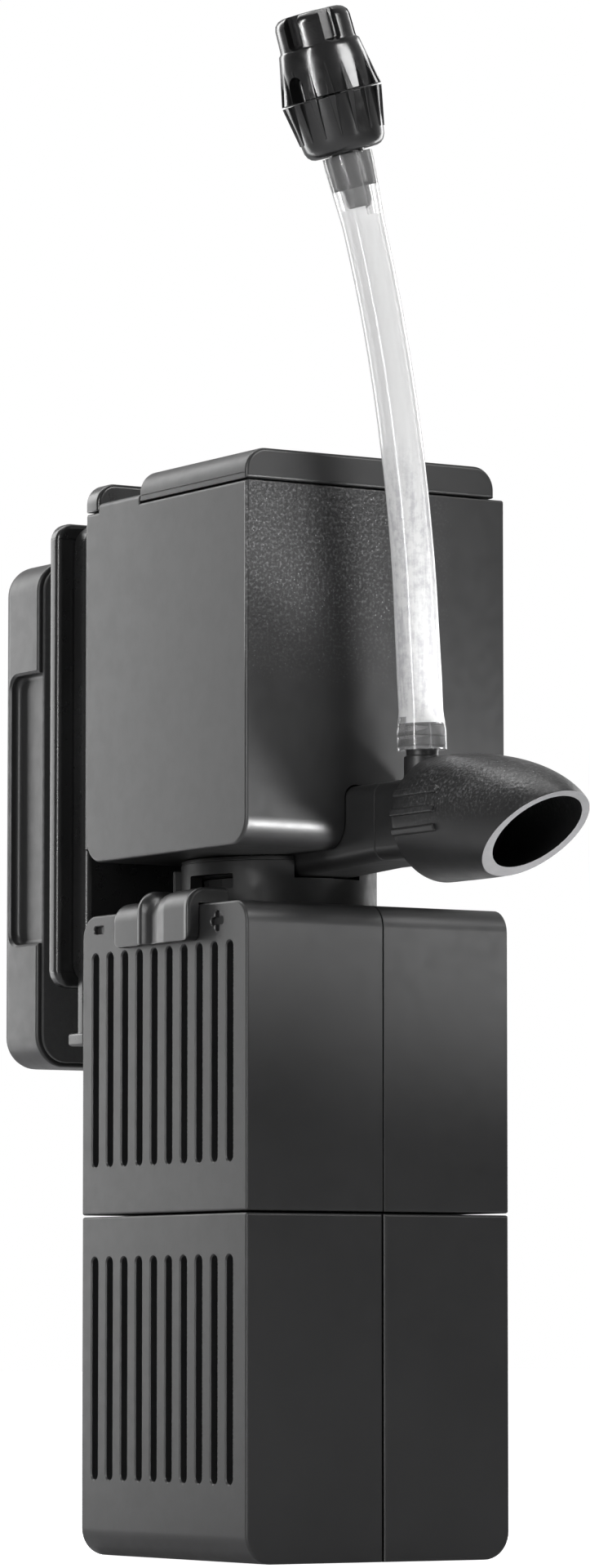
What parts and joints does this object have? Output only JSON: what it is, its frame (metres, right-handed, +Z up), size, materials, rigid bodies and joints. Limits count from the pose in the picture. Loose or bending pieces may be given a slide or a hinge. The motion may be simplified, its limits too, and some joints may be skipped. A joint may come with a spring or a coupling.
{
  "type": "aquarium power filter",
  "caption": "Square-section tank filter: pump head with swivelling outlet nozzle and air line with twist valve, stacked slotted sponge boxes, magnetic pane holder.",
  "frame": {"origin": "centre of the lower media box's flat foot", "axes": "+Z up along the stacked boxes, -Y the side the outlet nozzle points to, +Y the pane holder, -X the slotted side"},
  "size_m": [0.0702, 0.1784, 0.3273],
  "materials": {
    "satin_black": "satin, fine grain",
    "deep_black": "matt",
    "sponge": "open-cell foam",
    "rubber": "matt",
    "resin": "potted resin",
    "magnet": "ferrite",
    "ceramic": "polished ceramic",
    "impeller_plastic": "moulded",
    "clear_hose": "milky clear silicone"
  },
  "bodies": {
    "lower_box": {"lower_box_slotted_half": "satin_black", "lower_box_plain_half": "satin_black", "lower_sponge": "sponge", "lower_riser": "deep_black"},
    "upper_box": {"upper_box_slotted_half": "satin_black", "upper_box_plain_half": "satin_black", "upper_sponge": "sponge", "upper_riser": "deep_black", "coupling_ring": "deep_black"},
    "slider": {"flow_slider": "satin_black"},
    "pump_head": {"neck_collar": "satin_black", "neck_seal": "rubber", "impeller_cover": "deep_black", "volute_duct": "satin_black", "volute_seal": "rubber", "impeller_shaft": "ceramic", "lower_bush": "rubber", "upper_bush": "rubber", "motor_block": "resin", "pump_housing": "satin_black", "cable_cover": "satin_black", "cable_gland": "rubber", "outlet_adapter": "satin_black", "air_hose": "clear_hose", "air_valve_body": "satin_black", "holder_rail": "satin_black"},
    "lid": {"pump_lid": "satin_black"},
    "rotor": {"impeller": "impeller_plastic", "rotor_magnet": "magnet"},
    "nozzle": {"outlet_nozzle": "satin_black"},
    "valve_cap": {"air_valve_cap": "satin_black"},
    "carriage": {"holder_carriage": "satin_black", "inner_plate": "satin_black", "inner_magnet_right": "magnet", "inner_magnet_left": "magnet"},
    "outer_magnet_block": {"outer_block": "satin_black", "outer_pad": "rubber", "outer_magnet_right": "magnet", "outer_magnet_left": "magnet"}
  },
  "joints": [
    {"name": "upper_box_lift", "type": "slide", "parent": "lower_box", "child": "upper_box", "axis": [0, 0, 1], "range_m": [0, 0.03]},
    {"name": "pump_head_lift", "type": "slide", "parent": "upper_box", "child": "pump_head", "axis": [0, 0, 1], "range_m": [0, 0.03]},
    {"name": "flow_slide", "type": "slide", "parent": "upper_box", "child": "slider", "axis": [0, 1, 0], "range_m": [-0.004, 0.005]},
    {"name": "lid_lift", "type": "slide", "parent": "pump_head", "child": "lid", "axis": [0, 0, 1], "range_m": [0, 0.03]},
    {"name": "rotor_spin", "type": "hinge", "parent": "pump_head", "child": "rotor", "pos_m": [0, 0.006, 0.155], "axis": [0, 0, 1], "continuous": true},
    {"name": "nozzle_swivel", "type": "hinge", "parent": "pump_head", "child": "nozzle", "pos_m": [0, -0.0597, 0.1553], "axis": [0, -1, 0], "continuous": true},
    {"name": "air_valve_turn", "type": "hinge", "parent": "pump_head", "child": "valve_cap", "pos_m": [-0.0188, -0.0515, 0.2963], "axis": [-0.3007, 0, 0.9537], "range_deg": [0, 300]},
    {"name": "holder_height", "type": "slide", "parent": "pump_head", "child": "carriage", "axis": [0, 0, 1], "range_m": [-0.03, 0.01]},
    {"name": "outer_block_pull", "type": "slide", "parent": "carriage", "child": "outer_magnet_block", "axis": [0, 1, 0], "range_m": [0, 0.05]}
  ]
}
